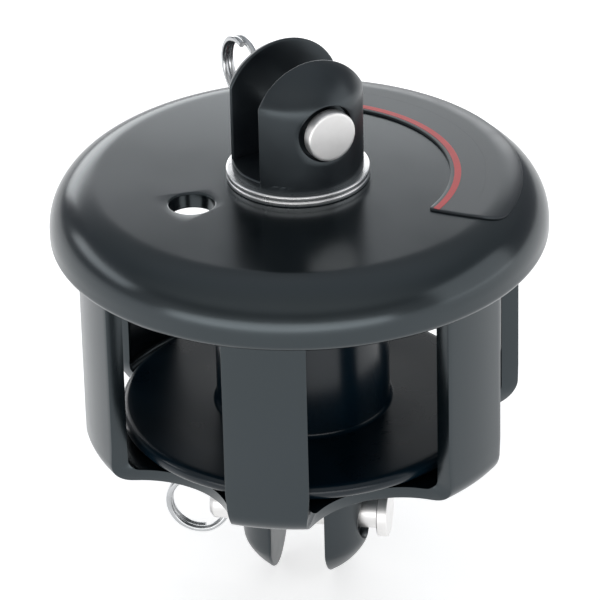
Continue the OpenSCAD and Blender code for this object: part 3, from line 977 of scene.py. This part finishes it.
red_ink = grained_finish(
    "red_ink", dark=(0.58, 0.045, 0.050), light=(0.66, 0.060, 0.064),
    roughness=(0.34, 0.40), specular=0.3,
    grain_scale=7000, patch_scale=150, depth=0.001 * MM,
)
red_inner = label_inner + 0.7 * MM
red_outer = label_inner + 1.9 * MM
red_short = 0.012
red_low = label_t - 0.1 * MM
red_high = label_t + 0.03 * MM
red_corner = 0.2 * MM
red_edge = 0.02 * MM
red_mesh = close_up(strip_on_cap(
    "red", red_inner, red_outer, label_start + red_short, label_end - red_short,
    red_low, red_high, (red_corner, red_corner), red_edge, 0,
))
red_piece = one_piece("label_red_line", [red_mesh], red_ink)
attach(red_piece, "drum")


# Clevis washers: two stainless washers between the upper clevis and the cap, which stand out
# past the clevis as bright rings. Their edges are rolled.
washer_roll = 0.3 * MM
washer_margin = 2 * MM
for member, name in (("lower_clevis_washer", "washer_lower"), ("upper_clevis_washer", "washer_upper")):
    washer_low, washer_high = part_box(member)
    washer_r = washer_high.x
    roll_r = washer_r - washer_roll
    outline = [(shank_bore, washer_low.z), (washer_r - washer_margin, washer_low.z)]
    outline += arc((roll_r, washer_low.z + washer_roll), washer_roll, -90, 0, 6)
    outline += arc((roll_r, washer_high.z - washer_roll), washer_roll, 0, 90, 6)
    outline += [(washer_r - washer_margin, washer_high.z), (shank_bore, washer_high.z)]
    washer = one_piece(name, [close_up(turning(name, outline, 192))], stainless)
    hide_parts(member)
    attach(washer, "drum")


# Upper clevis: the same bar the other way up, turned with the drum. Its threaded shank goes down
# through the washers, the cap and the hub's top, and a nut and washer inside clamp them together.
upper_shank_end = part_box("upper_clevis")[0].z
upper_base_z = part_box("upper_clevis_washer")[1].z
upper_pin_up = 13 * MM
upper_pin_z = cap_top + upper_pin_up
upper_base = upper_pin_z - upper_base_z
upper_jaw_base = upper_base - 1.6 * MM
upper_shank_r = 6 * MM
upper_at = Matrix.Translation((0, 0, upper_pin_z)) @ Matrix.Rotation(drum_turn, 4, "Z")
upper_clevis = clevis_bar(
    "upper_clevis_bar", upper_base, upper_jaw_base, upper_shank_r, upper_base_z - upper_shank_end,
    upper_at,
)
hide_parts("upper_clevis")
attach(upper_clevis, "drum")
dress(("shank_washer", "shank_nut"), stainless)


# Clevis pins: turned stainless pins with a chamfered head that sits in the clevis's pocket, and
# a cross hole near the tip for the split ring. Both stand a little out, the lower one further.
pin_r = 3.175 * MM
pin_head_r = 4.6 * MM
pin_head_t = 2 * MM
head_seat = pocket_floor + 0.08 * MM
upper_cross = 15.6 * MM
lower_cross = 18.7 * MM
upper_out = 1.4 * MM
lower_out = 4 * MM
pin_past_cross = 3 * MM
tip_bevel = 0.8 * MM
tip_soft = 0.1 * MM
head_bevel = 0.3 * MM
head_soft = 0.15 * MM
head_crown = 0.03 * MM
cross_r = 1.3 * MM
cross_break = 0.25 * MM


def clevis_pin(name, finish, cross_at, out, place_at):
    """A pin turned with its head up, drilled across, then laid along its clevis and drawn out."""
    top = head_seat + pin_head_t
    tip = -cross_at - pin_past_cross
    outline = [(0, tip), (pin_r - tip_bevel, tip)]
    outline += [(pin_r - tip_soft, tip + tip_bevel - 1.5 * tip_soft), (pin_r, tip + tip_bevel)]
    outline += [(pin_r, tip + 2 * tip_bevel), (pin_r, head_seat)]
    outline += [(pin_head_r - head_soft, head_seat), (pin_head_r, head_seat + head_soft)]
    outline += [(pin_head_r, top - head_bevel)]
    outline += arc((pin_head_r - head_bevel, top - head_bevel), head_bevel, 0, 80, 5)
    outline += [(pin_head_r - 2 * head_bevel, top)]
    outline += [(pin_head_r * 0.5, top + head_crown * 2 / 3), (0, top + head_crown)]
    mesh = close_up(turning(name, outline, 96))
    drill = flared_drill(cross_r, -pin_r, pin_r, cross_break)
    drill.transform(Matrix.Rotation(math.pi / 2, 4, "Y"))
    drill.transform(Matrix.Translation((0, 0, -cross_at)))
    mesh = bored(mesh, drill)
    mesh.transform(place_at @ Matrix.Translation((out, 0, 0)) @ Matrix.Rotation(math.pi / 2, 4, "Y"))
    return one_piece(name, [mesh], finish)


def pin_steel(name, centre, turn):
    """Stainless steel with turning lines round one pin's own axis."""
    return metal_finish(
        name, dark=(0.86, 0.85, 0.84), light=(0.90, 0.89, 0.88), roughness=(0.38, 0.42),
        line_scale=7000, scuff_scale=420, depth=0.0006 * MM, centre=centre, turn=turn,
    )


pin_steel_upper = pin_steel("pin_steel_upper", (0, 0, upper_pin_z), (0, math.pi / 2, drum_turn))
pin_steel_lower = pin_steel("pin_steel_lower", (0, 0, 0), (0, math.pi / 2, 0))
for member, finish, cross_at, out, place_at in (
    ("upper_pin", pin_steel_upper, upper_cross, upper_out, upper_at),
    ("lower_pin", pin_steel_lower, lower_cross, lower_out, Matrix.Identity(4)),
):
    pin = clevis_pin(member + "_turning", finish, cross_at, out, place_at)
    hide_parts(member)
    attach(pin, member + "_body")


# Split rings: spring-steel wire wound side by side for a little over a turn and a half, sprung
# through the pin's cross hole so that the pin can't draw out. Each hangs free on its pin.
spring_steel = metal_finish(
    "spring_steel", dark=(0.48, 0.49, 0.50), light=(0.60, 0.61, 0.62), roughness=(0.20, 0.28),
    line_scale=3000, scuff_scale=300, depth=0.0004 * MM,
)
ring_wire = 1.2 * MM
ring_mid = 5.65 * MM
ring_step = 0.95 * ring_wire
ring_chord = math.sqrt(ring_mid ** 2 - pin_r ** 2)
ring_reach = (ring_mid + ring_chord) / 2
wind_start = 75
wind_end = wind_start + 564
wind_stride = 4
cross_over_at = 285
cross_over = 45
wire_tree, wire_in, wire_out = geometry_tree("wire_along_path", [
    ("Wire Radius", "NodeSocketFloat"), ("Finish", "NodeSocketMaterial"),
])
wire_path = place(wire_tree, "GeometryNodeMeshToCurve", {"Mesh": wire_in.outputs["Geometry"]})
wire_round = place(wire_tree, "GeometryNodeCurvePrimitiveCircle", {
    "Resolution": 20, "Radius": wire_in.outputs["Wire Radius"],
})
wire_body = place(wire_tree, "GeometryNodeCurveToMesh", {
    "Curve": wire_path.outputs[0], "Profile Curve": wire_round.outputs[0], "Fill Caps": True,
})
wire_real = place(wire_tree, "GeometryNodeRealizeInstances", {"Geometry": wire_body.outputs[0]})
wire_finish = place(wire_tree, "GeometryNodeSetMaterial", {
    "Geometry": wire_real.outputs[0], "Material": wire_in.outputs["Finish"],
})
wire_tree.links.new(wire_finish.outputs[0], wire_out.inputs["Geometry"])


def split_ring(name, centre, place_at):
    """A wire wound on one side, that crosses over to the other side and laps its own start."""
    path = []
    for angle in range(wind_start, wind_end + 1, wind_stride):
        drop = min(1, max(0, (angle - cross_over_at) / cross_over))
        side = ring_step * (1 - drop * drop * (3 - 2 * drop))
        a = math.radians(angle)
        path.append((centre + ring_mid * math.cos(a), -side, ring_mid * math.sin(a)))
    mesh = bpy.data.meshes.new(name)
    mesh.from_pydata(path, [(i, i + 1) for i in range(len(path) - 1)], [])
    mesh.transform(place_at)
    wire = grow(name, mesh, wire_tree, {"Wire Radius": ring_wire / 2, "Finish": spring_steel})
    return one_piece(name, [close_up(wire)], spring_steel)


for member, centre, place_at in (
    ("upper_ring", upper_out - upper_cross - ring_reach, upper_at),
    ("lower_ring", lower_out - lower_cross - ring_reach, Matrix.Identity(4)),
):
    ring = split_ring(member + "_wire", centre, place_at)
    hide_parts(member)
    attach(ring, member + "_body")
